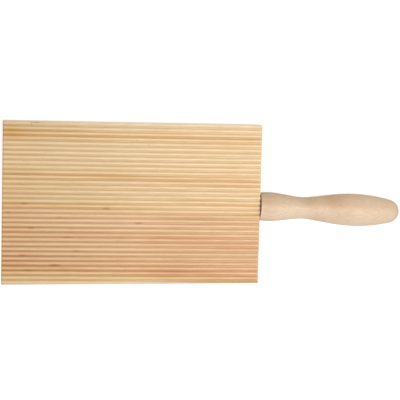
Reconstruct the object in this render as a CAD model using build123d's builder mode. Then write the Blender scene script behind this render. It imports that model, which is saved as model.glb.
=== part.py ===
from build123d import *

import math
import os

# Gnocchi board, as it would come apart on a bench: a solid beech plank whose upper side is
# moulded into ridges, a turned beech handle, and the fluted dowel that is glued into both.
# Millimetres. The origin is the centre of the plank's flat underside, +X runs along the ridges
# towards the handle, +Y is across them, and +Z is up, out of the ridges.

# Plank
board_length = 200.0
board_width = 125.0
board_thickness = 15.0
edge_skew = 0.52  # degrees by which the sawn -Y edge runs off the line of the ridges
edge_ease = 0.6

# Ridges. A cutter of this included angle leaves rounded ridges and rounded groove bottoms, and
# the plank's own face stays as a narrow land along each crest.
groove_pitch = 3.72
groove_shift = -0.14  # the whole row of grooves sits this far off the plank's middle
cutter_angle = 60.0
crest_land = 0.5
crest_radius_share = 0.34
root_radius_share = 0.08

# Handle, measured along its own axis from the flat face that seats against the plank
handle_length = 113.0
handle_offset = -1.52
handle_lean = 1.59  # degrees by which the handle points towards the sawn edge
swell_diameter = 22.8
waist_diameter = 17.0
bulb_diameter = 25.5
rim_ease = 0.4
swell_place_share = 0.068
waist_place_share = 0.313
bulb_place_share = 0.674
nose_radius_share = 0.73

# Two diameters are joined by an arc, a straight taper and an arc. The arcs' radii are this
# share of the longest that fit, and split between the thick and the thin end by these shares.
arcs_share = 0.8
swell_arc_share = 0.48
waist_arc_share = 0.2

# Dowel
dowel_diameter = 8.0
dowel_length = 40.0
dowel_chamfer = 1.0
flute_count = 10
flute_width = 0.8
glue_gap = 0.05
dowel_end_room = 1.0
drill_point_angle = 118.0

# How far a cut runs past what it cuts
overrun = 2.0

# Groove section, worked out from the cutter: the sharp zigzag whose corners, once rounded, pass
# just over the plank's face and leave the lands
half_pitch = groove_pitch / 2
crest_radius = groove_pitch * crest_radius_share
root_radius = groove_pitch * root_radius_share
flank_angle = math.radians(90 - cutter_angle / 2)
flank_rise = half_pitch * math.tan(flank_angle)
sharp_excess_share = 1 / math.cos(flank_angle) - 1
cutter_top = board_thickness + crest_radius - math.sqrt(crest_radius**2 - (crest_land / 2) ** 2)
sharp_crest_height = cutter_top + crest_radius * sharp_excess_share
sharp_root_height = sharp_crest_height - flank_rise
shoulder_width = (cutter_top - sharp_root_height) / math.tan(flank_angle)
groove_depth = board_thickness - sharp_root_height - root_radius * sharp_excess_share
groove_count = math.floor(board_width / groove_pitch)
first_groove = groove_shift - (groove_count - 1) * half_pitch


def taper(start, end, first_share):
    """Joins two points of the handle's outline, level at both, by an arc, a straight and an arc.

    Gives the straight's two ends and the arcs' two radii. first_share is the first arc's.
    """
    run = end[0] - start[0]
    rise = end[1] - start[1]
    both_radii = arcs_share * (run**2 + rise**2) / (2 * abs(rise))
    drop = both_radii - abs(rise)
    slope = math.asin(both_radii / math.hypot(run, drop)) - math.atan2(drop, run)
    turned_in = math.sin(slope)
    turned_up = math.copysign(1 - math.cos(slope), rise)
    first = both_radii * first_share
    second = both_radii - first
    straight_start = (start[0] + first * turned_in, start[1] + first * turned_up)
    straight_end = (end[0] - second * turned_in, end[1] - second * turned_up)
    return straight_start, straight_end, first, second


# Handle outline, from the seat to the nose: each stretch is tangent to the next
swell = (handle_length * swell_place_share, swell_diameter / 2)
waist = (handle_length * waist_place_share, waist_diameter / 2)
bulb = (handle_length * bulb_place_share, bulb_diameter / 2)
neck_start, neck_end, swell_arc, neck_arc = taper(swell, waist, swell_arc_share)
grip_start, grip_end, waist_arc, bulb_arc = taper(waist, bulb, waist_arc_share)
rim_radius = swell[1] - swell_arc + math.sqrt(swell_arc**2 - swell[0] ** 2)
seat_radius = rim_radius - rim_ease

nose_radius = bulb[1] * nose_radius_share
nose_centre = handle_length - nose_radius
nose_run = nose_centre - bulb[0]
tip_arc = (nose_run**2 + bulb[1] ** 2 - nose_radius**2) / (2 * (bulb[1] - nose_radius))
tip_turn = math.atan2(nose_run, tip_arc - bulb[1])
nose_start = (
    nose_centre + nose_radius * math.sin(tip_turn),
    nose_radius * math.cos(tip_turn),
)

# The handle leans, so its flat face meets the plank's end at one point of the rim and opens into
# a narrow wedge at the other side
lean = math.radians(handle_lean)
handle_direction = Vector(math.cos(lean), -math.sin(lean), 0)
axis_at_board_end = Vector(board_length / 2, handle_offset, board_thickness / 2)
seat_centre = axis_at_board_end + handle_direction * (seat_radius * math.tan(lean))
handle_axis = Axis(seat_centre, handle_direction)
handle_side = Plane(origin=seat_centre, x_dir=handle_direction, z_dir=(0, 0, 1))
dowel_end = Plane(origin=seat_centre, z_dir=handle_direction).offset(-dowel_length / 2)

bore_radius = dowel_diameter / 2 + glue_gap
bore_depth = dowel_length / 2 + dowel_end_room


def plank_corners():
    """The plank in plan: square ends, and one long edge sawn askew about its own middle."""
    half_length = board_length / 2
    half_width = board_width / 2
    skew_rise = half_length * math.tan(math.radians(edge_skew))
    return [
        (-half_length, -half_width - skew_rise),
        (half_length, -half_width + skew_rise),
        (half_length, half_width),
        (-half_length, half_width),
    ]


def ridge_line():
    """The sharp zigzag across the plank, level past the outer grooves, and each corner's radius."""
    last_groove = first_groove + (groove_count - 1) * groove_pitch
    points = [
        (first_groove - board_width, cutter_top),
        (first_groove - shoulder_width, cutter_top),
    ]
    radii = [crest_radius]
    for number in range(groove_count):
        groove = first_groove + number * groove_pitch
        points.append((groove, sharp_root_height))
        radii.append(root_radius)
        if number < groove_count - 1:
            points.append((groove + half_pitch, sharp_crest_height))
            radii.append(crest_radius)
    points.append((last_groove + shoulder_width, cutter_top))
    radii.append(crest_radius)
    points.append((last_groove + board_width, cutter_top))
    return points, radii


def drilled_hole(into):
    """Half section of a drilled hole. into is 1 for the handle and -1 for the plank."""
    point_length = bore_radius / math.tan(math.radians(drill_point_angle / 2))
    return [
        (-into * overrun, 0),
        (-into * overrun, bore_radius),
        (into * bore_depth, bore_radius),
        (into * (bore_depth + point_length), 0),
    ]


# Ridged board: the plank is sawn to its outline and its long edges are eased, then the grooves
# are moulded from end to end, and the handle's hole is drilled along the leaning axis
with BuildPart() as ridged_board:
    with BuildSketch():
        with BuildLine():
            Polyline(*plank_corners(), close=True)
        make_face()
    extrude(amount=board_thickness)
    long_edges = ridged_board.edges().sort_by(SortBy.LENGTH)[-4:]
    fillet(long_edges, radius=edge_ease)

    ridge_points, ridge_radii = ridge_line()
    with BuildSketch(Plane.YZ.offset(-board_length / 2 - overrun)):
        with BuildLine():
            FilletPolyline(*ridge_points, radius=ridge_radii)
            Polyline(
                ridge_points[-1],
                (ridge_points[-1][0], cutter_top + overrun),
                (ridge_points[0][0], cutter_top + overrun),
                ridge_points[0],
            )
        make_face()
    extrude(amount=board_length + 2 * overrun, mode=Mode.SUBTRACT)

    with BuildSketch(handle_side):
        with BuildLine():
            Polyline(*drilled_hole(-1), close=True)
        make_face()
    revolve(axis=handle_axis, mode=Mode.SUBTRACT)
ridged_board.part.label = "ridged_board"

# Handle: turned on a lathe, so it is one revolved outline, with a flat seat and a drilled hole
with BuildPart() as handle:
    with BuildSketch(handle_side):
        with BuildLine():
            RadiusArc((0, rim_radius), neck_start, swell_arc)
            Line(neck_start, neck_end)
            RadiusArc(neck_end, waist, -neck_arc)
            RadiusArc(waist, grip_start, -waist_arc)
            Line(grip_start, grip_end)
            RadiusArc(grip_end, bulb, bulb_arc)
            RadiusArc(bulb, nose_start, tip_arc)
            RadiusArc(nose_start, (handle_length, 0), nose_radius)
            Polyline((handle_length, 0), (0, 0), (0, rim_radius))
        make_face()
    revolve(axis=handle_axis)
    chamfer(handle.edges().sort_by(handle_axis)[0], length=rim_ease)

    with BuildSketch(handle_side):
        with BuildLine():
            Polyline(*drilled_hole(1), close=True)
        make_face()
    revolve(axis=handle_axis, mode=Mode.SUBTRACT)
handle.part.label = "handle"

# Dowel: half in the plank and half in the handle, with straight flutes that let the glue out
with BuildPart() as dowel:
    with BuildSketch(dowel_end):
        Circle(dowel_diameter / 2)
    extrude(amount=dowel_length)
    chamfer(dowel.edges().filter_by(GeomType.CIRCLE), length=dowel_chamfer)
    with BuildSketch(dowel_end):
        with PolarLocations(dowel_diameter / 2, flute_count):
            RegularPolygon(flute_width / 2, 4)
    extrude(amount=dowel_length, mode=Mode.SUBTRACT)
dowel.part.label = "dowel"

print(f"grooves {groove_count}, depth {groove_depth:.2f}, crest radius {crest_radius:.2f}")
print(f"handle arcs {swell_arc:.1f} {neck_arc:.1f} {waist_arc:.1f} {bulb_arc:.1f} {tip_arc:.1f}")
print(f"seat diameter {2 * seat_radius:.2f}, wedge {2 * seat_radius * math.sin(lean):.2f}")

os.makedirs("parts", exist_ok=True)
for piece in (ridged_board, handle, dowel):
    export_step(piece.part, f"parts/{piece.part.label}.step")
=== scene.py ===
# %% [markdown]
# # A ridged gnocchi board
#
# The object is a kitchen tool for rolling small pasta dumplings: a plank whose upper side is
# moulded into ridges, a turned handle at one end, and a hidden dowel that holds the two together.
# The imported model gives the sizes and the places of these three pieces. This script gives them
# the finer surfaces and the wood that a close look shows, on the same coordinates, in metres.

import math

import bpy
import numpy as np
from bpy.types import NodeSocket
from mathutils import Matrix, Vector


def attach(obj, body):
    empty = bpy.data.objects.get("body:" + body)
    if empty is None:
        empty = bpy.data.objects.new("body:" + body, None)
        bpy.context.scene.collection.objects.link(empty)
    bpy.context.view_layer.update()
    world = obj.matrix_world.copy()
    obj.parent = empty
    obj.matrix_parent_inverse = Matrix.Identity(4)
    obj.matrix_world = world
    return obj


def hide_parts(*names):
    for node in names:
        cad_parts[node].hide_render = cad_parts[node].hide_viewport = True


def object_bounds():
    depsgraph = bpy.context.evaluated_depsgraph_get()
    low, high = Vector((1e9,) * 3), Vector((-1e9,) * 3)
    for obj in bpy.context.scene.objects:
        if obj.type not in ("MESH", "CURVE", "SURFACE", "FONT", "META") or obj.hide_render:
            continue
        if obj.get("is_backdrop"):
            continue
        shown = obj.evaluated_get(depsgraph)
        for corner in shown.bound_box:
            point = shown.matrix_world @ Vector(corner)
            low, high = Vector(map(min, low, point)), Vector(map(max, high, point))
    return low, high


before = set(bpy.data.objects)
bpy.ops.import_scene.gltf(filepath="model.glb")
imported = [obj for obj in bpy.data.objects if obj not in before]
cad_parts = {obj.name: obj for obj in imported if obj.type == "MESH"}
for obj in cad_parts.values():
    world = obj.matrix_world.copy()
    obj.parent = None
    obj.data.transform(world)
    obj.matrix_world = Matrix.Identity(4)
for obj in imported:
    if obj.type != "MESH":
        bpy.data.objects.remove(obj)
cad_low, cad_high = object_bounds()
print("nodes:", sorted(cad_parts))
print("box in mm:", [round(1000 * (high - low), 2) for low, high in zip(cad_low, cad_high)])

# %% [markdown]
# ## Lengths
#
# Small wooden things are measured in millimetres and Blender works in metres, so every length
# below is a number times `mm`. The plank's underside lies on z = 0, its ridges run along x
# towards the handle, and y runs across them.

# %% Lengths of the plank
mm = 0.001
board_length = 200 * mm
board_width = 125 * mm
board_thickness = 15 * mm
edge_skew = math.radians(0.52)
edge_ease = 0.6 * mm

# %% [markdown]
# ## Camera
#
# The photograph looks almost straight down from a little over a metre, with a long lens, so the
# board's outline narrows only slightly towards the handle. A camera is described here by where it
# stands, the point it aims at, and the direction that runs level across the picture. Those three
# fix its turn completely, also for a view from above, where a rule such as "keep z upwards" would
# leave the turn open.

# %% Camera
lens_length = 126.15
camera_place = Vector((-95.5, 127.9, 1086.4)) * mm
camera_aim = Vector((52.3, 3.8, 15)) * mm
picture_right = Vector((0.9907, 0.0262, 0.1336))
film_width = 36
view_reach = 20000 * mm


def put_in_scene(name, data):
    """An object in the scene that holds the given camera, lamp or mesh."""
    held = bpy.data.objects.new(name, data)
    bpy.context.scene.collection.objects.link(held)
    return held


view_direction = (camera_aim - camera_place).normalized()
level = (picture_right - picture_right.dot(view_direction) * view_direction).normalized()
picture_up = level.cross(view_direction)
turn = Matrix((level, picture_up, -view_direction)).transposed()

camera = put_in_scene("camera", bpy.data.cameras.new("camera"))
camera.data.lens = lens_length
camera.data.sensor_width = film_width
camera.data.clip_end = view_reach
camera.matrix_world = Matrix.Translation(camera_place) @ turn.to_4x4()
bpy.context.scene.camera = camera
print("camera to board in mm:", round(1000 * (camera_aim - camera_place).length))

# %% [markdown]
# ## Surfaces from grids
#
# A grid of points is enough for every shape here. Its rows are copies of one closed outline or
# ring, and each face joins two neighbours of one row to the same two of the next. The helper
# below numbers those faces for a whole grid at once.

# %% Faces of a grid of rings, and a mesh from points and faces
sharp_angle = math.radians(40)


def ring_faces(ring_count, ring_size, first=0):
    """Quads between neighbouring rings that close on themselves.

    Point j of ring i is number first + i * ring_size + j, and j runs round by the remainder.
    """
    i, j = np.meshgrid(np.arange(ring_count - 1), np.arange(ring_size), indexing="ij")
    here = first + i * ring_size + j
    beside = first + i * ring_size + (j + 1) % ring_size
    return np.stack((here, beside, beside + ring_size, here + ring_size), -1).reshape(-1, 4)


def make_piece(name, points, faces):
    """A mesh object from an array of points and lists of faces, smooth except over sharp_angle."""
    mesh = bpy.data.meshes.new(name)
    mesh.from_pydata(points.tolist(), [], faces)
    mesh.validate()
    mesh.shade_smooth()
    mesh.set_sharp_from_angle(angle=sharp_angle)
    print(name, "faces:", len(mesh.polygons))
    return put_in_scene(name, mesh)


# %% [markdown]
# ## The ridges' section
#
# A moulding cutter leaves rounded groove bottoms, straight flanks and rounded crests, and the
# plank's planed face survives as a narrow land along each crest. The height over one groove needs
# only the distance from its middle, so the whole row of grooves is one formula of y.

# %% Height of the ridged face
groove_pitch = 3.72 * mm
groove_count = 33
groove_shift = -0.14 * mm
crest_land = 0.5 * mm
crest_radius = 0.34 * groove_pitch
root_radius = 0.08 * groove_pitch
flank_angle = math.radians(60)

half_pitch = groove_pitch / 2
first_groove = groove_shift - (groove_count - 1) * half_pitch
flank_slope = math.tan(flank_angle)
crest_reach = crest_radius * math.sin(flank_angle)
root_reach = root_radius * math.sin(flank_angle)
sharp_excess = 1 / math.cos(flank_angle) - 1
cutter_top = board_thickness + crest_radius - math.sqrt(crest_radius**2 - (crest_land / 2) ** 2)
sharp_root = cutter_top + crest_radius * sharp_excess - half_pitch * flank_slope
groove_bottom = sharp_root + root_radius * sharp_excess


def ridge_height(y):
    """Height of the moulded face over y.

    Near a groove's middle it is a circle of root_radius, near a crest a circle of crest_radius
    turned over, between them the straight flank, and nowhere more than the plank's face.
    """
    number = np.clip(np.round((y - first_groove) / groove_pitch), 0, groove_count - 1)
    off = np.minimum(np.abs(y - first_groove - number * groove_pitch), half_pitch)
    root = groove_bottom + root_radius - np.sqrt(root_radius**2 - np.minimum(off, root_reach) ** 2)
    to_crest = np.minimum(half_pitch - off, crest_reach)
    crest = cutter_top - crest_radius + np.sqrt(crest_radius**2 - to_crest**2)
    flank = sharp_root + off * flank_slope
    above_root = np.where(half_pitch - off < crest_reach, crest, flank)
    return np.minimum(np.where(off < root_reach, root, above_root), board_thickness)


groove_depth = board_thickness - float(ridge_height(first_groove))
print("groove depth in mm:", round(1000 * groove_depth, 2))

# %% [markdown]
# ## The ridged plank
#
# The plank is one closed outline, seen from the handle's end, carried along x. It could be a box
# with grooves cut by a boolean, but then its faces would be uneven and its highlights rough. Here
# the outline's points sit where the section bends, and the same points run along every ridge. One
# long edge is sawn half a degree askew, so each point also has a share, from 0 to 1, of how far it
# moves with that edge. Only the outermost half ridge and the underside stretch, and the other
# ridges stay parallel.

# %% The outline at the plank's middle
root_points, crest_points = 4, 6
corner_points = 6
edge_points = 15
side_points = 13
underside_points = 27
half_length = board_length / 2
half_width = board_width / 2
inner_edge = half_width - edge_ease
quarter = np.linspace(0, math.pi / 2, corner_points)
crest_start = half_pitch - crest_reach
bends = np.concatenate(
    (
        np.linspace(0, root_reach, root_points)[1:],
        ((root_reach + crest_start) / 2,),
        np.linspace(crest_start, half_pitch - crest_land / 2, crest_points),
        (half_pitch,),
    )
)
groove_points = np.concatenate((-bends[:-1][::-1], (0,), bends))
groove_middles = first_groove + groove_pitch * np.arange(groove_count)
last_groove = groove_middles[-1]


def joined(*stretches):
    """Stretches of pairs, such as (y, z), each side a number or a list, as one array of points."""
    pairs = [np.broadcast_arrays(*np.atleast_1d(y, z)) for y, z in stretches]
    return np.concatenate([np.stack(pair, -1) for pair in pairs])


def corner(y, z, first_angle):
    """A quarter circle of edge_ease about (y, z), anticlockwise from first_angle, in degrees."""
    angle = math.radians(first_angle) + quarter
    return y + edge_ease * np.cos(angle), z + edge_ease * np.sin(angle)


over_rows = (groove_middles[:, None] + groove_points).ravel()
over_grooves = np.sort(over_rows[(over_rows > first_groove) & (over_rows < last_groove)])
to_sawn_edge = np.linspace(-inner_edge, first_groove, edge_points)[1:]
to_straight_edge = np.linspace(last_groove, inner_edge, edge_points)[:-1]
across = np.concatenate((to_sawn_edge, over_grooves, to_straight_edge))
side = np.linspace(edge_ease, board_thickness - edge_ease, side_points)
side_middle = side_points // 2
outline = joined(
    (half_width, side[side_middle:-1]),
    corner(inner_edge, side[-1], 0),
    (across[::-1], board_thickness),
    corner(-inner_edge, side[-1], 90),
    (-half_width, side[1:-1][::-1]),
    corner(-inner_edge, side[0], 180),
    (np.linspace(-inner_edge, inner_edge, underside_points)[1:-1], 0),
    corner(inner_edge, side[0], 270),
    (half_width, side[1:side_middle]),
)
upper_share = np.clip((first_groove - outline[:, 0]) / (first_groove + inner_edge), 0, 1)
lower_share = np.clip((inner_edge - outline[:, 0]) / (2 * inner_edge), 0, 1)
sawn_share = np.where(outline[:, 1] > board_thickness / 2, upper_share, lower_share)
print("points round the plank:", len(outline))

# %% [markdown]
# ## Small signs of making and use
#
# A board fresh from the machine still isn't perfect: the crests are sanded unevenly by a few
# hundredths of a millimetre, the ridges' ends are softer than their middles, apart from the few
# that the handle shelters, and the photographed board has a small chip broken out of its far
# edge. These are formulas over x and y that lower the ridged face. They only take wood away, so
# the piece stays inside the plank.

# %% Wear of the ridged face
crest_wear = 0.09 * mm
uneven_along = 9 * mm
uneven_across = 2.1 * mm
end_wear = 0.12 * mm
end_wear_reach = 1.2 * mm
sheltered_reach = 10 * mm
sheltered_fade = 2 * mm
chip_middle = -74 * mm
chip_half_length = 3.7 * mm
chip_side = 61.8 * mm
chip_depth = 0.7 * mm
chip_slope_width = 0.4 * mm


def slow_noise(a, b):
    """A slow, uneven wave from -1 to 1: the mean of four sines of a and b with no common period."""
    waves = np.sin(a + 1.3) + np.sin(0.37 * a + 1.9 * b + 0.6)
    waves = waves + np.sin(1.71 * a - 0.83 * b + 2.2) + np.sin(2.63 * a + 1.17 * b + 4.1)
    return waves / 4


def eased(share):
    """0 up to share 0, 1 from share 1, and level at both."""
    share = np.clip(share, 0, 1)
    return share * share * (3 - 2 * share)


def sheltered(x, y):
    """1 beside the handle's seat, where nothing wears the ridges' ends, and 0 elsewhere."""
    return np.where(x > 0, eased((sheltered_reach - np.abs(y)) / sheltered_fade), 0)


def worn(x, y, z):
    """z less the wear of the crests, which grows towards the ridges' ends, and less the chip."""
    crest_share = np.clip((z - groove_bottom) / (board_thickness - groove_bottom) * 2 - 1, 0, 1)
    uneven = 0.5 + 0.5 * slow_noise(x / uneven_along, y / uneven_across)
    near_end = np.exp((np.abs(x) - half_length) / end_wear_reach) * (1 - sheltered(x, y))
    z = z - crest_share * (crest_wear * uneven + end_wear * near_end)
    in_chip = eased((chip_half_length - np.abs(x - chip_middle)) / chip_slope_width + 0.5)
    in_chip = in_chip * eased((y - chip_side) / chip_slope_width + 0.5)
    return z - crest_share * chip_depth * in_chip


print("usual wear at a crest's end in mm:", round(1000 * (crest_wear / 2 + end_wear), 3))

# %% [markdown]
# ## Rings along the plank
#
# The outline is repeated along x. Its copies lie close together at the two ends, whose rims are
# sanded round, and on the slopes of the chip. In between, where little changes, they are sparse.

# %% The plank's rings
end_ease = 0.25 * mm
sheltered_sharpness = 0.8
near_end_places = np.array((0, 0.03, 0.08, 0.15, 0.25, 0.6, 1.2)) * mm
even_reach = half_length - 2 * mm
even_places = np.linspace(-even_reach, even_reach, 81)
chip_steps = chip_half_length + np.linspace(-0.5, 0.5, 4) * chip_slope_width
chip_places = np.concatenate((chip_middle - chip_steps, chip_middle + chip_steps))
middle_places = np.sort(np.concatenate((even_places, chip_places)))
ring_places = np.concatenate(
    (near_end_places - half_length, middle_places, half_length - near_end_places[::-1])
)


def plank_points():
    """All points of the plank: the outline at every place of ring_places.

    y is the outline's y plus its share of the sawn edge's slant, z is the lower of the outline
    and the ridges, less the wear, and near the ends each ring shrinks along its own normals by
    the drop of a quarter circle of end_ease.
    """
    x = ring_places[:, None]
    y = outline[:, 0] + sawn_share * x * math.tan(edge_skew)
    z = np.broadcast_to(outline[:, 1], y.shape)
    ridged = np.minimum(z, ridge_height(y))
    z = np.where(z > board_thickness / 2, worn(x, y, ridged), z)
    along_y = np.roll(y, -1, axis=1) - np.roll(y, 1, axis=1)
    along_z = np.roll(z, -1, axis=1) - np.roll(z, 1, axis=1)
    step = np.hypot(along_y, along_z)
    to_end = np.minimum(half_length - np.abs(x), end_ease)
    shrink = end_ease - np.sqrt(end_ease**2 - (end_ease - to_end) ** 2)
    shrink = shrink * (1 - sheltered_sharpness * sheltered(x, y))
    y, z = y - shrink * along_z / step, z + shrink * along_y / step
    return np.stack((np.broadcast_to(x, y.shape), y, z), -1)


plank_rings = plank_points()
ring_count, ring_size = plank_rings.shape[:2]
print("rings along the plank:", ring_count)

# %% [markdown]
# ## The drilled end
#
# The handle leans by a degree and a half, so its flat seat touches the plank's end at one point of
# the rim and opens into a narrow wedge opposite. The plank's end has the dowel's hole, drilled
# along the leaning axis. A mesh face can't have a hole in it, so the end is two faces that meet on
# a level line through the hole's middle, one above and one below. The hole is a tube of rings that
# starts on the end face and narrows to the drill's point, closed there by a fan of triangles.

# %% The handle's axis and the dowel's hole
handle_lean = math.radians(1.59)
handle_offset = -1.52 * mm
seat_radius = 10.42 * mm
axis_direction = np.array((math.cos(handle_lean), -math.sin(handle_lean), 0))
axis_at_board_end = np.array((half_length, handle_offset, board_thickness / 2))
seat_centre = axis_at_board_end + seat_radius * math.tan(handle_lean) * axis_direction
side_direction = np.array((math.sin(handle_lean), math.cos(handle_lean), 0))
up_direction = np.array((0, 0, 1))
hole_radius = 4.05 * mm
hole_depth = 21 * mm
drill_point_angle = math.radians(118)
point_length = hole_radius / math.tan(drill_point_angle / 2)
hole_sides = 64


def full_turn(sides):
    """The angles of that many points spread evenly round an axis."""
    return np.arange(sides) / sides * 2 * math.pi


def about_axis(along, radius, angle):
    """Points on the handle's axis at along, out from it by radius at angle.

    Angle 0 points to the +y side and a quarter turn points up.
    """
    out = np.cos(angle)[..., None] * side_direction + np.sin(angle)[..., None] * up_direction
    on_axis = seat_centre + np.asarray(along)[..., None] * axis_direction
    return on_axis + np.asarray(radius)[..., None] * out


def plank_hole():
    """Rings of the hole from the end face inwards, and last the drill's point."""
    turn = full_turn(hole_sides)
    mouth = about_axis(np.zeros(hole_sides), hole_radius, turn)
    mouth = mouth - ((mouth[:, :1] - half_length) / axis_direction[0]) * axis_direction
    depths = np.array((5 * mm, 12 * mm, 18 * mm, hole_depth))
    wall = about_axis(-depths[:, None], hole_radius, turn[None, :])
    point = seat_centre - (hole_depth + point_length) * axis_direction
    return np.concatenate((mouth, wall.reshape(-1, 3), point[None]))


hole = plank_hole()
hole_first = ring_count * ring_size
print("points of the plank's hole:", len(hole))

# %% Put the plank together
def fan_faces(first, size, tip, tip_is_last):
    """Triangles from a ring to a tip, wound like the quads of the rings on that side."""
    here = first + np.arange(size)
    beside = first + (np.arange(size) + 1) % size
    tips = np.full(size, tip)
    return np.stack((here, beside, tips) if tip_is_last else (tips, beside, here), -1)


from_middle = np.hypot(outline[:, 0] + half_width, outline[:, 1] - side[side_middle])
mid_height = int(np.argmin(from_middle))
last_ring = (ring_count - 1) * ring_size + np.arange(ring_size)
mouth_half = hole_sides // 2
mouth_upper = hole_first + np.arange(mouth_half, -1, -1)
mouth_lower = hole_first + np.arange(hole_sides, mouth_half - 1, -1) % hole_sides
upper_end = [*last_ring[: mid_height + 1], *mouth_upper]
lower_end = [*last_ring[mid_height:], last_ring[0], *mouth_lower]
far_end = list(range(ring_size - 1, -1, -1))
hole_ring_count = (len(hole) - 1) // hole_sides
hole_tip = hole_first + len(hole) - 1
plank_faces = [
    *ring_faces(ring_count, ring_size).tolist(),
    *ring_faces(hole_ring_count, hole_sides, hole_first).tolist(),
    *fan_faces(hole_tip - hole_sides, hole_sides, hole_tip, True).tolist(),
    upper_end,
    lower_end,
    far_end,
]
plank = make_piece("plank", np.concatenate((plank_rings.reshape(-1, 3), hole)), plank_faces)
for face in list(plank.data.polygons)[-3:]:
    face.use_smooth = False

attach(plank, "root")
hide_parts("ridged_board")

# %% [markdown]
# ## The handle
#
# A turned piece is a profile spun about its axis. The profile is the part's own: arcs and short
# straight tapers, each tangent to the next, from the flat seat over a slight swell and a waist to
# the long bulb and the rounded nose. The radius is written as a function of the distance along
# the axis, so that rings can be placed wherever they are needed. On the inside the same profile
# goes on over the seat and down the dowel's hole, and both ends close in a fan. A last sanding,
# a hundredth of a millimetre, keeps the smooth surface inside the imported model's box.

# %% Radius along the handle
sanded = 0.01 * mm
handle_length = 113 * mm - sanded
swell = (0.068 * handle_length, 11.4 * mm - sanded)
waist = (0.313 * handle_length, 8.5 * mm - sanded)
bulb = (0.674 * handle_length, 12.75 * mm - sanded)
nose_radius = 0.73 * bulb[1]
arcs_share = 0.8
swell_arc_share = 0.48
waist_arc_share = 0.2


def taper(start, end, first_share):
    """How two radii are joined, level at both: an arc, a straight and an arc.

    Gives the places and radii where the straight starts and ends, and the two arcs' radii.
    """
    run, rise = end[0] - start[0], end[1] - start[1]
    both = arcs_share * (run**2 + rise**2) / (2 * abs(rise))
    drop = both - abs(rise)
    slope = math.asin(both / math.hypot(run, drop)) - math.atan2(drop, run)
    first, second = both * first_share, both * (1 - first_share)
    along, inwards = math.sin(slope), math.copysign(1 - math.cos(slope), rise)
    straight_start = (start[0] + first * along, start[1] + first * inwards)
    straight_end = (end[0] - second * along, end[1] - second * inwards)
    return straight_start, straight_end, first, second


def arc(place, peak, arc_radius):
    """Radius on a circle that is level at peak. arc_radius is negative for a hollow."""
    height = np.sqrt(np.maximum(arc_radius**2 - (place - peak[0]) ** 2, 0))
    return peak[1] - arc_radius + np.sign(arc_radius) * height


def straight(place, start, end):
    """Radius on the straight line from start to end."""
    return np.interp(place, (start[0], end[0]), (start[1], end[1]))


neck_start, neck_end, swell_arc, neck_arc = taper(swell, waist, swell_arc_share)
grip_start, grip_end, waist_arc, bulb_arc = taper(waist, bulb, waist_arc_share)
nose_centre = handle_length - nose_radius
nose_run = nose_centre - bulb[0]
tip_arc = (nose_run**2 + bulb[1] ** 2 - nose_radius**2) / (2 * (bulb[1] - nose_radius))
nose_start = nose_centre + nose_radius * math.sin(math.atan2(nose_run, tip_arc - bulb[1]))


def handle_radius(place):
    """The radius along the handle's axis. Each stretch is listed with the place where it ends."""
    stretches = (
        (neck_start[0], arc(place, swell, swell_arc)),
        (neck_end[0], straight(place, neck_start, neck_end)),
        (waist[0], arc(place, waist, -neck_arc)),
        (grip_start[0], arc(place, waist, -waist_arc)),
        (grip_end[0], straight(place, grip_start, grip_end)),
        (bulb[0], arc(place, bulb, bulb_arc)),
        (nose_start, arc(place, bulb, tip_arc)),
    )
    nose = arc(place, (nose_centre, nose_radius), nose_radius)
    ends, radii = zip(*stretches)
    return np.select([place < end for end in ends], radii, nose)


measured = handle_radius(np.array((0, waist[0], bulb[0])))
print("radius at seat, waist and bulb in mm:", np.round(1000 * measured, 2))

# %% The handle's rings
rim_ease = 0.5 * mm
mouth_ease = 0.3 * mm
seat_ring_radii = (6.4 * mm, 8.6 * mm)
rim_points, outside_points, nose_points = 7, 150, 28
handle_sides = 160


def closed_rings(rings, tips):
    """Points and faces of rings about the handle's axis, closed by fans to two tips on the axis.

    tips gives the places of the tips along the axis, at the first ring and at the last.
    """
    count, size = rings.shape[:2]
    first_tip = count * size
    last_tip = first_tip + 1
    faces = [
        *ring_faces(count, size).tolist(),
        *fan_faces(0, size, first_tip, False).tolist(),
        *fan_faces(first_tip - size, size, last_tip, True).tolist(),
    ]
    tip_points = seat_centre + np.outer(tips, axis_direction)
    return np.concatenate((rings.reshape(-1, 3), tip_points)), faces


def handle_profile():
    """Places and radii from the hole's wall over the seat and the outside to the nose.

    The hole's mouth is a cone of mouth_ease, the rim is a quarter circle of rim_ease, and the
    nose's rings are spaced by angle, so that they don't crowd or thin out towards the tip.
    """
    rim_turn = np.linspace(0, math.pi / 2, rim_points)
    rim_radius = float(handle_radius(np.array(rim_ease)))
    nose_first_turn = math.asin((nose_start - nose_centre) / nose_radius)
    nose_turn = np.linspace(nose_first_turn, math.pi / 2, nose_points)[:-1]
    outside = np.linspace(rim_ease, nose_start, outside_points)[1:-1]
    return joined(
        (np.linspace(hole_depth, 0, 4)[:-1], hole_radius),
        (mouth_ease, hole_radius),
        (0, hole_radius + mouth_ease),
        (0, seat_ring_radii),
        (rim_ease * (1 - np.cos(rim_turn)), rim_radius - rim_ease * (1 - np.sin(rim_turn))),
        (outside, handle_radius(outside)),
        (nose_centre + nose_radius * np.sin(nose_turn), nose_radius * np.cos(nose_turn)),
    )


place, radius = handle_profile().T
handle_rings = about_axis(place[:, None], radius[:, None], full_turn(handle_sides)[None, :])
handle_tips = (hole_depth + point_length, handle_length)
handle_points, handle_faces = closed_rings(handle_rings, handle_tips)
turned_handle = make_piece("turned_handle", handle_points, handle_faces)
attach(turned_handle, "root")
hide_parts("handle")

# %% [markdown]
# ## The dowel
#
# Bought dowels have straight flutes pressed into them that let glue and air out of the hole, and
# chamfered ends that find the hole. The section is a circle with narrow flutes shaped like a V,
# carried along the axis, and over the chamfers it is the smaller of that section and a cone. None
# of it shows on the finished tool.

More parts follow.
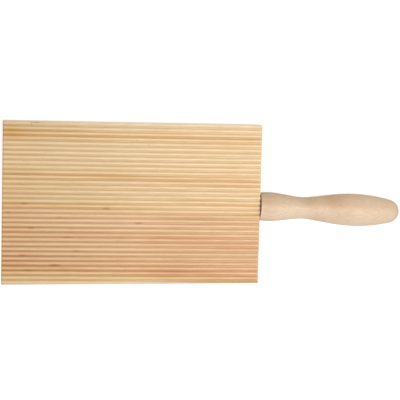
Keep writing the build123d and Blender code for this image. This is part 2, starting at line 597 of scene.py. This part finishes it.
# %% The fluted dowel
dowel_radius = 4 * mm
dowel_half_length = 20 * mm
dowel_chamfer = 1 * mm
flute_count = 10
flute_depth = 0.4 * mm
dowel_sides = 240


def dowel_rings():
    """Rings along the dowel: the smaller of the fluted radius and the chamfer's cone.

    A flute is as deep as half its width, so each point's dip is the flute's depth less the way
    round to the flute's middle.
    """
    chamfered = dowel_half_length - np.linspace(0, dowel_chamfer, 6)
    middle = np.linspace(-0.5, 0.5, 3) * dowel_half_length
    place = np.concatenate((-chamfered, middle, chamfered[::-1]))
    cone = dowel_radius - np.maximum(np.abs(place) - dowel_half_length + dowel_chamfer, 0)
    turn = full_turn(dowel_sides)
    flute_spacing = 2 * math.pi / flute_count
    nearest_flute = np.round(turn / flute_spacing) * flute_spacing
    way_round = np.abs(turn - nearest_flute) * dowel_radius
    fluted = dowel_radius - np.maximum(flute_depth - way_round, 0)
    return about_axis(place[:, None], np.minimum(cone[:, None], fluted), turn[None, :])


dowel_tips = (-dowel_half_length, dowel_half_length)
fluted_dowel = make_piece("fluted_dowel", *closed_rings(dowel_rings(), dowel_tips))
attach(fluted_dowel, "root")
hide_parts("dowel")

# %% [markdown]
# ## Wood as a solid
#
# Wood is coloured through and through, so its pattern is worked out in space from the object's
# coordinates, and cutting a groove into it shows the layers below, as on the real board. The
# building blocks are few: arithmetic, noise that is stretched along the grain, ramps from one
# tone to the next, and soft spots. Each helper below adds one shader node and hands back its
# output. A value given to them may be a number, a tone or such an output, and the node joins the
# material that the output comes from.

# %% Helpers that add one shader node each
def add_node(kind, inputs, output=0, **settings):
    """Adds a node, sets or links its inputs by name or number, and gives one of its outputs."""
    outputs_given = [value for value in inputs.values() if isinstance(value, NodeSocket)]
    tree = outputs_given[0].id_data
    node = tree.nodes.new(kind)
    for name, value in settings.items():
        setattr(node, name, value)
    for key, value in inputs.items():
        if isinstance(value, NodeSocket):
            tree.links.new(value, node.inputs[key])
        else:
            node.inputs[key].default_value = value
    return node.outputs[output]


def calc(operation, *values):
    """Arithmetic on one to three values."""
    return add_node("ShaderNodeMath", dict(enumerate(values)), operation=operation)


def blend(share, first, second, blend_type="MIX"):
    """first where share is 0, second (or their product, with MULTIPLY) where it is 1."""
    inputs = {0: share, 6: first, 7: second}
    return add_node("ShaderNodeMix", inputs, 2, data_type="RGBA", blend_type=blend_type)


def stained(share, colour, stain):
    """The colour, multiplied by the stain where share is 1."""
    return blend(share, colour, stain, "MULTIPLY")


def stretched_noise(place, lengths, detail=2.0):
    """Noise from about 0.2 to 0.8 whose grains are as long in x, y and z as lengths says."""
    scale = tuple(1 / length for length in lengths)
    seen = add_node("ShaderNodeMapping", {"Vector": place, "Scale": scale})
    return add_node("ShaderNodeTexNoise", {"Vector": seen, "Scale": 1.0, "Detail": detail})


def ramp(share, stops):
    """A colour ramp through (place, tone) pairs."""
    output = add_node("ShaderNodeValToRGB", {0: share})
    elements = output.node.color_ramp.elements
    while len(elements) < len(stops):
        elements.new(0.5)
    for element, (at, colour) in zip(elements, stops):
        element.position = at
        element.color = colour
    return output


def reach(value, low, high, to_low=0.0, to_high=1.0):
    """Eases from to_low, where value is low, to to_high, where it is high."""
    inputs = {0: value, 1: low, 2: high, 3: to_low, 4: to_high}
    return add_node("ShaderNodeMapRange", inputs, interpolation_type="SMOOTHSTEP")


def soft_spot(place, centre, lengths, strength):
    """strength at the centre, easing to 0 at the given lengths from it in x, y and z."""
    settings = {"Vector": place, "Location": centre, "Scale": lengths}
    away = add_node("ShaderNodeMapping", settings, vector_type="TEXTURE")
    away = add_node("ShaderNodeVectorMath", {0: away}, "Value", operation="LENGTH")
    return reach(away, 1.0, 0.0, 0.0, strength)


def tone(red, green, blue):
    """A tone from its three values on a screen, 0 to 255, as the linear colour shaders work in."""
    return tuple(((value / 255 + 0.055) / 1.055) ** 2.4 for value in (red, green, blue)) + (1.0,)


def new_finish(piece, name, roughness, specular):
    """The main shader of a new material on a piece. Values that are even all over are set here."""
    finish = bpy.data.materials.new(name)
    finish.use_nodes = True
    finish.node_tree.nodes.clear()
    shader = finish.node_tree.nodes.new("ShaderNodeBsdfPrincipled")
    shader.inputs["Roughness"].default_value = roughness
    shader.inputs["Specular IOR Level"].default_value = specular
    output = finish.node_tree.nodes.new("ShaderNodeOutputMaterial")
    finish.node_tree.links.new(shader.outputs[0], output.inputs[0])
    piece.data.materials.append(finish)
    return shader


def feed(shader, name, value):
    """Links a value that varies over the piece to the shader's input of that name."""
    shader.id_data.links.new(value, shader.inputs[name])


def count_nodes(shader):
    """Prints how many nodes the shader's material has by now."""
    print("nodes by now:", len(shader.id_data.nodes))


def places(shader):
    """Where each point of the shader's piece lies, in the object's own coordinates."""
    return shader.id_data.nodes.new("ShaderNodeTexCoord").outputs["Object"]


# %% [markdown]
# ## The plank's grain
#
# The plank's grain opens like a very narrow fan: along the far edge the streaks run straight, and
# the nearer they lie to the other edge the more they drift towards it. A coordinate that is
# constant along a streak makes that simple: the distance from the far edge over a slow spread.
# The layers also lean into the thickness and wander a little, as a tree's rings do.

# %% A coordinate across the grain
plank_shader = new_finish(plank, "plank beech", 0.42, 0.5)
spread_per_metre = 0.5
layer_lean = 0.55
wander_reach = 0.6 * mm
wander_lengths = (70 * mm, 16 * mm, 16 * mm)

plank_place = places(plank_shader)
plank_apart = add_node("ShaderNodeSeparateXYZ", {0: plank_place}).node.outputs
along_plank = calc("ADD", plank_apart["X"], half_length)
from_far_edge = calc("SUBTRACT", half_width, plank_apart["Y"])
spread = calc("MULTIPLY_ADD", along_plank, spread_per_metre, 1.0)
straight_grain = calc("DIVIDE", from_far_edge, spread)
below_face = calc("SUBTRACT", plank_apart["Z"], board_thickness)
leaning_grain = calc("MULTIPLY_ADD", below_face, layer_lean, straight_grain)
slow = stretched_noise(plank_place, wander_lengths)
wander = reach(slow, 0.2, 0.8, -wander_reach, wander_reach)
grain = calc("ADD", leaning_grain, wander)
count_nodes(plank_shader)

# %% [markdown]
# ## Bands of the heartwood and sapwood
#
# From the far edge the board is straw yellow, then from the middle on rose brown, and straw yellow
# again at the near edge. A ramp along the grain coordinate lays down these broad bands. Each is
# listed by its distance from the far edge in millimetres.

# %% Broad bands
pale_straw = tone(211, 189, 155)
straw = tone(209, 184, 147)
honey = tone(203, 174, 132)
rose = tone(207, 176, 142)
deep_rose = tone(204, 168, 132)
# painted light for the far side face
side_painted_light = tone(240, 223, 188)

bands = (
    (0, pale_straw), (12, straw), (16, pale_straw), (30, pale_straw), (36, straw), (48, straw),
    (53, pale_straw), (59, straw), (63, honey), (66.5, rose), (77, rose), (82, deep_rose),
    (92, rose), (102, deep_rose), (111, deep_rose), (113, honey), (117, honey), (120, straw),
    (126, straw),
)
last_band = bands[-1][0]
band_share = calc("DIVIDE", grain, last_band * mm)
band_stops = [(distance / last_band, band_tone) for distance, band_tone in bands]
plank_colour = ramp(band_share, band_stops)
print("bands:", len(bands))

# %% [markdown]
# ## Streaks, fibres and flecks
#
# Over the bands lie the year rings, seen as long streaks, the fine fibres, and the short dark
# flecks that mark beech from other pale woods. Each is a mask from 0 to 1 that lets a stain
# multiply the colour, because a denser part of the same wood is both darker and warmer.

# %% Stains, painted shades and painted light over the bands
amber_stain = tone(240, 222, 196)
golden_stain = tone(246, 233, 183)
brown_stain = tone(214, 186, 150)
fleck_stain = tone(198, 150, 118)
fibre_stain = tone(242, 236, 226)
chip_stain = tone(186, 166, 140)
# painted shade that deepens towards the far end
far_end_painted_shade = tone(246, 246, 242)
yellow_stain = tone(255, 251, 246)
# painted shade for the grooves' bottoms
groove_painted_shade = tone(196, 180, 162)
crest_stain = tone(243, 241, 235)
# painted shade for the long edges
long_edge_painted_shade = tone(241, 241, 241)
end_stain = tone(222, 210, 194)
print("amber stain as a colour:", np.round(amber_stain, 2))

# %% Year rings and the strongest streaks
year_ring_lengths = (150 * mm, 1.5 * mm, 2.5 * mm)
fade_reach = 25 * mm
streaks = (
    (6, 2.2, -50, 60, 0.6), (9.8, 2, -50, 260, 0.6), (24.4, 2, -50, 180, 0.2),
    (39.4, 2.4, -50, 110, 0.6), (41, 2.2, 75, 150, 0.6), (39.6, 2, 130, 260, 0.7),
    (43, 2, 140, 260, 0.45), (53.4, 2.2, -50, 90, 0.4), (53.8, 2, 130, 260, 0.55),
    (56.8, 2, 130, 260, 0.5), (68, 2.5, 120, 170, 0.5), (83, 2, 110, 160, 0.3),
    (87, 4.5, 95, 260, 0.35), (110.4, 2.6, -50, 70, 0.5), (108.2, 2.2, 120, 260, 0.5),
)


def grain_streak(centre, half_reach, first, last, strength):
    """A soft line along the plank's grain at centre, faded in about first and out about last."""
    off = calc("ABSOLUTE", calc("SUBTRACT", grain, centre * mm))
    line = reach(off, half_reach * mm, 0.0, 0.0, strength)
    first, last = first * mm, last * mm
    begun = reach(along_plank, first - fade_reach, first + fade_reach)
    not_over = reach(along_plank, last + fade_reach, last - fade_reach)
    return calc("MULTIPLY", line, calc("MULTIPLY", begun, not_over))


year_rings = stretched_noise(plank_place, year_ring_lengths, 3.0)
plank_colour = stained(reach(year_rings, 0.45, 0.72, 0.1, 0.6), plank_colour, amber_stain)
for streak in streaks:
    plank_colour = stained(grain_streak(*streak), plank_colour, amber_stain)
print("streaks:", len(streaks))

# %% Fibres and small flecks
fibre_lengths = (14 * mm, 0.3 * mm, 0.3 * mm)
fleck_lengths = (3.4 * mm, 0.42 * mm, 0.42 * mm)
fibres = stretched_noise(plank_place, fibre_lengths, 3.0)
plank_colour = stained(reach(fibres, 0.4, 0.7), plank_colour, fibre_stain)
flecks = stretched_noise(plank_place, fleck_lengths, 1.0)
plank_colour = stained(reach(flecks, 0.66, 0.76, 0.0, 0.55), plank_colour, brown_stain)
count_nodes(plank_shader)

# %% [markdown]
# ## Patches, the chip and the largest flecks
#
# No plank has one tone along its whole length. This one is tinted near its far edge, golden in the
# far corner, deeper or paler in a few places, and rosier towards the handle. Where the chip broke
# out, the torn wood is greyer, and a fine crack runs on from it. The largest flecks are placed one
# by one. All of them are soft spots, listed in millimetres by how far they lie to the right of the
# far corner and down from it and by their half length, half height and depth. A strength follows.
# In the lists below, a fade is the pair of values at which a mask begins and at which it is full.

# %% Patches of tone
patches = (
    (25, 10, 80, 12, 40, 0.25, amber_stain), (170, 15, 70, 10, 40, 0.3, amber_stain),
    (6, 8, 20, 7, 12, 0.75, golden_stain), (122, 118, 60, 8, 40, 0.5, amber_stain),
)
pale_patches = ((105, 123, 75, 4.5, 40, 0.8), (145, 67.5, 80, 5, 40, 0.5))
rose_fade = (60 * mm, 68 * mm)
rose_strength = 0.16
rosier_fade = (95 * mm, 150 * mm)


def plank_spot(right, down, half_reach, half_height, depth, strength):
    """A soft spot on the ridged face, placed from the far corner, which reaches depth into it."""
    centre = (right * mm - half_length, half_width - down * mm, board_thickness)
    lengths = (half_reach * mm, half_height * mm, depth * mm)
    return soft_spot(plank_place, centre, lengths, strength)


for *spot, stain in patches:
    plank_colour = stained(plank_spot(*spot), plank_colour, stain)
for spot in pale_patches:
    plank_colour = blend(plank_spot(*spot), plank_colour, straw)
rose_share = reach(grain, *rose_fade, 0.0, rose_strength)
near_handle = reach(along_plank, *rosier_fade)
plank_colour = stained(calc("MULTIPLY", rose_share, near_handle), plank_colour, brown_stain)
print("patches:", len(patches + pale_patches))

# %% The chip's tone and the largest flecks
chip_spots = ((25.3, 0, 5.5, 1.3, 3, 1), (21.7, 2.2, 0.9, 3.8, 3, 0.5))
fleck_half_height = 1.3
fleck_depth = 8
large_flecks = (
    (80, 66.3, 5, 0.6), (17, 63, 4, 0.45), (5, 69.8, 3, 0.45), (43, 73.3, 4, 0.35),
    (105, 77.3, 5, 0.6), (22, 81.7, 4, 0.5), (50, 88.8, 6, 0.35), (57, 99.3, 5, 0.4),
    (16, 103, 4.5, 0.55), (41, 110.6, 7, 0.8), (20, 114.6, 6, 0.45),
)
for spot in chip_spots:
    plank_colour = stained(plank_spot(*spot), plank_colour, chip_stain)
for right, down, half_reach, strength in large_flecks:
    fleck = plank_spot(right, down, half_reach, fleck_half_height, fleck_depth, strength)
    plank_colour = stained(fleck, plank_colour, fleck_stain)
print("large flecks:", len(large_flecks))

# %% [markdown]
# ## Crests, grooves, edges and ends
#
# The face carries painted shade that deepens towards its far end, and it is yellower there.
# Handling darkens the crests, and painted shade darkens the long edges. The grooves' bottoms carry
# painted shade, most of all at the near side of the far end. The cut ends show the ends of the
# fibres, which drink in light and look brown, and the far side face is painted paler, as painted
# light.

# %% The far end, crests and grooves
yellow_fade = (35 * mm, 0.0)
crest_fade = (board_thickness - 0.35 * mm, board_thickness - 0.05 * mm)
groove_fade = (groove_bottom + 0.95 * mm, groove_bottom)
near_side_fade = (40 * mm, 110 * mm)
near_edge_fade = (122 * mm, 112 * mm)
ridged_side_fade = (12 * mm, 13 * mm)

far_share = reach(along_plank, board_length, 0.0)
# Painted shade, deepening towards the far end.
plank_colour = stained(far_share, plank_colour, far_end_painted_shade)
plank_colour = stained(reach(along_plank, *yellow_fade), plank_colour, yellow_stain)
plank_colour = stained(reach(plank_apart["Z"], *crest_fade), plank_colour, crest_stain)

near_side = reach(from_far_edge, *near_side_fade, 0.25, 0.75)
off_near_edge = reach(from_far_edge, *near_edge_fade, 0.5, 1.0)
near_share = calc("MULTIPLY", near_side, off_near_edge)
# Painted shade in the grooves' bottoms, strongest at the near side of the far end.
groove_shade_strength = calc("MULTIPLY_ADD", near_share, far_share, 0.04)
depth_share = reach(plank_apart["Z"], *groove_fade)
in_groove = calc("MULTIPLY", depth_share, groove_shade_strength)
ridged_side = reach(plank_apart["Z"], *ridged_side_fade)
groove_shade_share = calc("MULTIPLY", in_groove, ridged_side)
plank_colour = stained(groove_shade_share, plank_colour, groove_painted_shade)
count_nodes(plank_shader)

# %% Long edges, cut ends and the far side
edge_fade = (2.6 * mm, 1 * mm)
handle_end_fade = (board_length - 0.1 * mm, board_length - 0.02 * mm)
far_end_fade = (1.3 * mm, 0.2 * mm)
side_fade = (0.3 * mm, 0.1 * mm)
side_strength = 0.42
side_pale_reach = 80 * mm

# Painted shade along the long edges.
sawn_edge = calc("MULTIPLY_ADD", plank_apart["X"], math.tan(edge_skew), -half_width)
from_sawn_edge = calc("SUBTRACT", plank_apart["Y"], sawn_edge)
from_long_edge = calc("MINIMUM", from_far_edge, from_sawn_edge)
plank_colour = stained(reach(from_long_edge, *edge_fade), plank_colour, long_edge_painted_shade)

at_handle_end = reach(along_plank, *handle_end_fade)
at_far_end = reach(along_plank, *far_end_fade)
end_share = calc("MAXIMUM", at_handle_end, at_far_end)
plank_colour = stained(end_share, plank_colour, end_stain)

# Painted light that lifts the shade of the far side face.
far_side = reach(from_far_edge, *side_fade, 0.0, side_strength)
towards_handle = reach(along_plank, 0.0, side_pale_reach, 0.3, 1.0)
side_light_share = calc("MULTIPLY", far_side, towards_handle)
plank_colour = blend(side_light_share, plank_colour, side_painted_light)
feed(plank_shader, "Base Color", plank_colour)
count_nodes(plank_shader)

# %% [markdown]
# ## How the plank's surface feels
#
# The moulder's knives leave very faint waves across the ridges, a little over a millimetre apart,
# and sanding leaves the fibres slightly proud. Both are far too small to model, so they are bump.
# The fibres also break up the shine.

# %% Bump and shine of the plank
def add_relief(shader, heights):
    """Chains bumps into the shader: heights lists pairs of a value from 0 to 1 and its depth."""
    normal = None
    for height, depth in heights:
        inputs = {"Height": height, "Distance": depth, "Strength": 1.0}
        if normal is not None:
            inputs["Normal"] = normal
        normal = add_node("ShaderNodeBump", inputs)
    feed(shader, "Normal", normal)


knife_spacing = 1.3 * mm
knife_mark_depth = 0.0015 * mm
fibre_depth = 0.03 * mm
knife_turn = calc("MULTIPLY", plank_apart["X"], 2 * math.pi / knife_spacing)
knife_marks = calc("SINE", knife_turn)
add_relief(plank_shader, ((knife_marks, knife_mark_depth), (fibres, fibre_depth)))
feed(plank_shader, "Roughness", reach(fibres, 0.3, 0.7, 0.36, 0.5))
print("knife marks along the plank:", round(board_length / knife_spacing))

# %% [markdown]
# ## The handle's wood
#
# The handle comes from another billet, paler and pinker. Its year rings lie nearly level, so the
# turning cuts them into long ovals on the bulb and arcs on the way down to the waist. The pattern
# is again worked out as a solid, now on the handle's own leaning axis: along it, to its side and
# up. One level coordinate stands for the year rings, and it leans a little. The far side of this
# handle is painted darker, as painted shade, but near the tip the tone evens out.

# %% The handle's own coordinates and year rings
handle_shader = new_finish(turned_handle, "handle beech", 0.55, 0.4)
layer_slope = -0.15
layer_wander = 0.4 * mm
layer_lengths = (45 * mm, 12 * mm, 12 * mm)


def on_handle_axis(shader):
    """Places measured from the seat, with x along the handle, as one value and taken apart."""
    settings = {"Location": tuple(seat_centre), "Rotation": (0, 0, -handle_lean)}
    settings["Vector"] = places(shader)
    place = add_node("ShaderNodeMapping", settings, vector_type="TEXTURE")
    return place, add_node("ShaderNodeSeparateXYZ", {0: place}).node.outputs


handle_place, handle_apart = on_handle_axis(handle_shader)
flat_layer = calc("MULTIPLY_ADD", handle_apart["Y"], layer_slope, handle_apart["Z"])
slow_drift = stretched_noise(handle_place, layer_lengths)
drift = reach(slow_drift, 0.2, 0.8, -layer_wander, layer_wander)
layer = calc("ADD", flat_layer, drift)
count_nodes(handle_shader)

# %% Broad tones of the handle
pale_pink = tone(195, 174, 153)
pink = tone(190, 168, 144)
# painted shade for the handle's far side
shaded_side_pink = tone(181, 156, 130)
even_pink = tone(188, 165, 142)
light_pink = tone(200, 179, 158)

tone_width = 18 * mm
evening_fade = (65 * mm, 95 * mm)
neck_light_place = (25 * mm, 1 * mm, 8 * mm)
neck_light_reach = (15 * mm, 8 * mm, 8 * mm)

# Painted shade: 0 at the darker far side, 1 towards the near side, evened out near the tip.
lit_side_share = calc("MULTIPLY_ADD", handle_apart["Y"], -1 / tone_width, 0.5)
handle_stops = ((0.0, shaded_side_pink), (0.25, shaded_side_pink), (0.5, pink), (0.85, pale_pink))
handle_colour = ramp(lit_side_share, handle_stops)
near_tip = reach(handle_apart["X"], *evening_fade, 0.0, 0.5)
handle_colour = blend(near_tip, handle_colour, even_pink)
neck_light = soft_spot(handle_place, neck_light_place, neck_light_reach, 0.15)
handle_colour = blend(neck_light, handle_colour, light_pink)
count_nodes(handle_shader)

# %% Year rings, fibres and flecks of the handle
ring_width = 1.15 * mm
ring_height = 11.3 * mm
ring_stain = tone(247, 241, 232)
uneven_lengths = (30 * mm, 5 * mm, 3 * mm)
handle_fibre_lengths = (12 * mm, 0.35 * mm, 0.35 * mm)
handle_fleck_lengths = (2.2 * mm, 0.35 * mm, 0.35 * mm)

from_ring = calc("SUBTRACT", layer, ring_height)
ring_turn = calc("MULTIPLY", from_ring, 2 * math.pi / ring_width)
ring_wave = calc("COSINE", ring_turn)
ring_edge = reach(ring_wave, 0.2, 1.0)
uneven = stretched_noise(handle_place, uneven_lengths)
ring_strength = reach(uneven, 0.4, 0.65, 0.1, 0.7)
ring_share = calc("MULTIPLY", ring_edge, ring_strength)
handle_colour = stained(ring_share, handle_colour, ring_stain)

handle_fibres = stretched_noise(handle_place, handle_fibre_lengths, 3.0)
handle_colour = stained(reach(handle_fibres, 0.4, 0.7), handle_colour, fibre_stain)
handle_flecks = stretched_noise(handle_place, handle_fleck_lengths, 1.0)
handle_colour = stained(reach(handle_flecks, 0.66, 0.78, 0.0, 0.4), handle_colour, brown_stain)
count_nodes(handle_shader)

# %% [markdown]
# ## Shades, tip and seat
#
# A few wide, soft shades lie on the neck, the waist and the grip. Each is listed by its place
# along the handle and to the side, its half length and its strength. The tip and the seat are cut
# across the grain, and so they are darker. The seat, in the narrow gap against the plank, is darker
# still with painted shade.

# %% Shades, tip and seat
shade_stain = tone(226, 209, 190)
seat_end_grain_and_shade = tone(196, 166, 132)
shade_height = 9
shade_half_width, shade_half_height = 13, 16
shades = (
    (6, 0, 10, 0.3), (40, 8, 12, 0.45), (46, -8, 14, 0.4), (57, 10, 15, 0.55), (64, -3, 18, 0.4),
)
tip_fade = (handle_length - 7 * mm, handle_length)
seat_fade = (0.5 * mm, 0.1 * mm)

for along, aside, half_reach, strength in shades:
    centre = (along * mm, aside * mm, shade_height * mm)
    lengths = (half_reach * mm, shade_half_width * mm, shade_half_height * mm)
    shade = soft_spot(handle_place, centre, lengths, strength)
    handle_colour = stained(shade, handle_colour, shade_stain)
tip_share = reach(handle_apart["X"], *tip_fade, 0.0, 0.25)
handle_colour = stained(tip_share, handle_colour, shade_stain)
# End grain, with painted shade of the gap against the plank.
handle_colour = stained(reach(handle_apart["X"], *seat_fade), handle_colour, seat_end_grain_and_shade)
feed(handle_shader, "Base Color", handle_colour)
count_nodes(handle_shader)

# %% [markdown]
# ## Turning marks
#
# The gouge and the sandpaper run round the handle while it spins, so what they leave is fine rings
# about the axis, a hundredth of a millimetre deep. They are bump too, from a noise that changes
# within half a millimetre along the axis and hardly at all across it.

# %% Bump and shine of the handle
turning_mark_lengths = (0.5 * mm, 90 * mm, 90 * mm)
turning_mark_depth = 0.02 * mm
turning_marks = stretched_noise(handle_place, turning_mark_lengths)
handle_relief = ((turning_marks, turning_mark_depth), (handle_fibres, fibre_depth))
add_relief(handle_shader, handle_relief)
feed(handle_shader, "Roughness", reach(handle_fibres, 0.3, 0.7, 0.5, 0.62))
count_nodes(handle_shader)

# %% [markdown]
# ## The dowel's wood
#
# Dowels are split straight and pressed through a die, so the grain is dead straight, and the flutes
# are burnished and carry painted shade, so they are darker. How far a point lies from the axis
# tells the shader that it is in a flute.

# %% Dowel finish
dowel_shader = new_finish(fluted_dowel, "dowel beech", 0.6, 0.3)
dowel_fibre_lengths = (10 * mm, 0.3 * mm, 0.5 * mm)
dowel_fibre_depth = 0.04 * mm
flute_fade = (dowel_radius - 0.05 * mm, dowel_radius - flute_depth)
dowel_stops = ((0.3, pale_pink), (0.5, straw), (0.72, honey))

dowel_place, dowel_apart = on_handle_axis(dowel_shader)
dowel_fibres = stretched_noise(dowel_place, dowel_fibre_lengths, 3.0)
dowel_colour = ramp(dowel_fibres, dowel_stops)
up_squared = calc("MULTIPLY", dowel_apart["Z"], dowel_apart["Z"])
away_squared = calc("MULTIPLY_ADD", dowel_apart["Y"], dowel_apart["Y"], up_squared)
from_axis = calc("SQRT", away_squared)
# Burnish and painted shade in the flutes.
dowel_colour = stained(reach(from_axis, *flute_fade), dowel_colour, brown_stain)
feed(dowel_shader, "Base Color", dowel_colour)
add_relief(dowel_shader, ((dowel_fibres, dowel_fibre_depth),))
count_nodes(dowel_shader)

# %% [markdown]
# ## Floor and light
#
# The tool lies on a plain white table. The bulb is thicker than the plank and hangs below it, so
# the tool rests on the bulb and on the plank's far end. The floor is a plane hinged on that end
# and swung down until it touches the handle: its slope is the lowest height of any point of the
# handle over its distance from the hinge. One large soft lamp and a pale sky light it, and the
# table glows, so that only a faint shadow shows.

# %% Floor
floor_reach = 6000 * mm
floor_gap = 0.05 * mm
heights = handle_points[:, 2]
from_hinge = handle_points[:, 0] + half_length
floor_slope = float((heights / from_hinge).min())

floor_plan = np.array(((-1, -1), (1, -1), (1, 1), (-1, 1))) * floor_reach
floor_z = (floor_plan[:, 0] + half_length) * floor_slope - floor_gap
floor = make_piece("table", np.column_stack((floor_plan, floor_z)), [(0, 1, 2, 3)])
floor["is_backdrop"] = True

white_shader = new_finish(floor, "white table", 0.9, 0.1)
white_shader.inputs["Base Color"].default_value = (0.2, 0.2, 0.2, 1)
white_shader.inputs["Emission Color"].default_value = (1, 1, 1, 1)
white_shader.inputs["Emission Strength"].default_value = 0.82
print("tilt of the tool on the table in degrees:", round(-math.degrees(math.atan(floor_slope)), 2))

# %% Lamp and surroundings
lamp_place = Vector((200, -30, 800)) * mm
lamp_aim = Vector((80, 0, 0)) * mm
lamp_width = 350 * mm
lamp_power = 5.3

lamp = bpy.data.lights.new("overhead softbox", "AREA")
lamp.shape = "SQUARE"
lamp.size = lamp_width
lamp.energy = lamp_power
softbox = put_in_scene("overhead softbox", lamp)
lamp_turn = (lamp_aim - lamp_place).to_track_quat("-Z", "Y").to_matrix()
softbox.matrix_world = Matrix.Translation(lamp_place) @ lamp_turn.to_4x4()
softbox.visible_camera = False

surroundings = bpy.data.worlds.new("pale studio")
surroundings.use_nodes = True
backdrop = surroundings.node_tree.nodes["Background"]
backdrop.inputs["Color"].default_value = (1, 1, 1, 1)
backdrop.inputs["Strength"].default_value = 0.85
bpy.context.scene.world = surroundings
bpy.context.scene.view_settings.view_transform = "Standard"
bpy.context.scene.view_settings.look = "None"
print("lamp to board in mm:", round(1000 * (lamp_aim - lamp_place).length))

# %% [markdown]
# ## The size
#
# The dressed object must stay inside the imported model's box. Both boxes are printed.

# %% Sizes
bpy.context.view_layer.update()
seen_low, seen_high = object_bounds()
for which, of_solid, of_visual in (("low", cad_low, seen_low), ("high", cad_high, seen_high)):
    pairs = [(round(1000 * a, 2), round(1000 * b, 2)) for a, b in zip(of_solid, of_visual)]
    print(which, "corners, solid and visual, in mm:", pairs)
